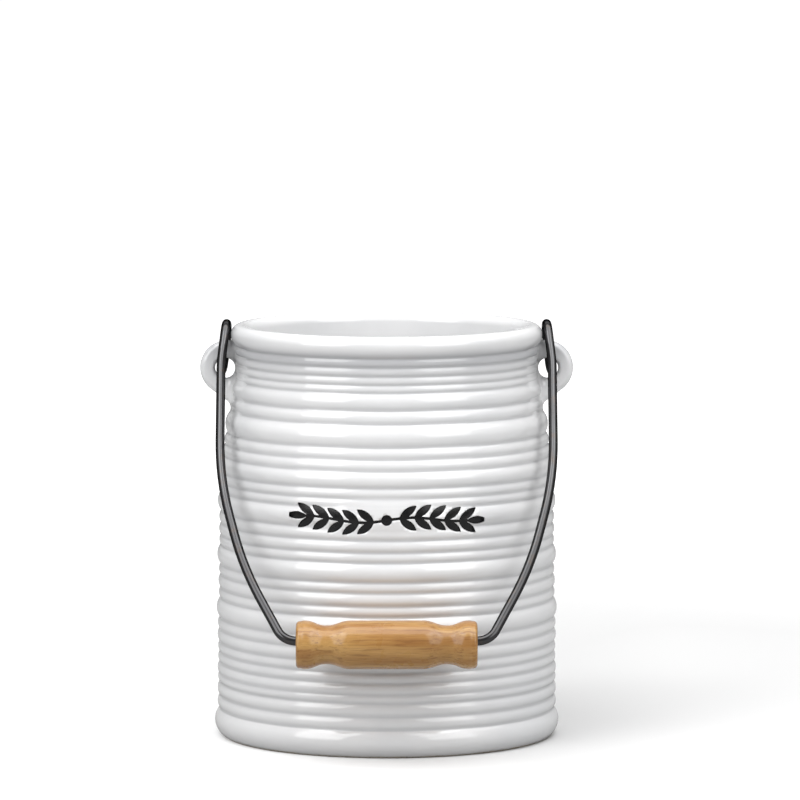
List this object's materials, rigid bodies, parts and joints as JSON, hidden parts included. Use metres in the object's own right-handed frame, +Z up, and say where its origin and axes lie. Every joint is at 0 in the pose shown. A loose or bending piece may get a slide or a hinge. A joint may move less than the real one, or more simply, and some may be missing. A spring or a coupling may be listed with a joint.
{
  "type": "utensil crock",
  "caption": "Glazed stoneware crock with thrown ribs, two pierced side lugs, a wire bail that swings and a turned wooden grip.",
  "frame": {"origin": "centre of the flat base, on the surface the crock stands on", "axes": "+Z up, the decorated front and the hanging grip face -Y, the lugs stand out along +X and -X"},
  "size_m": [0.1648, 0.1725, 0.1843],
  "materials": {
    "glaze": "smooth white gloss glaze over thrown ribs",
    "enamel": "black gloss enamel in a pressed recess",
    "wire": "dark gunmetal lacquer on round steel wire",
    "wood": "oiled and satin varnished golden brown wood"
  },
  "bodies": {
    "crock": {"crock_body": "glaze", "lug_left": "glaze", "lug_right": "glaze", "leaf_spray_enamel": "enamel"},
    "bail": {"bail_wire": "wire"},
    "grip": {"wooden_grip": "wood"}
  },
  "joints": [
    {"name": "bail_swing", "type": "hinge", "parent": "crock", "child": "bail", "pos_m": [0, 0, 0.17185], "axis": [-1, 0, 0], "range_deg": [0, 270]},
    {"name": "grip_spin", "type": "hinge", "parent": "bail", "child": "grip", "pos_m": [0, -0.08566, 0.0514], "axis": [1, 0, 0], "continuous": true}
  ]
}
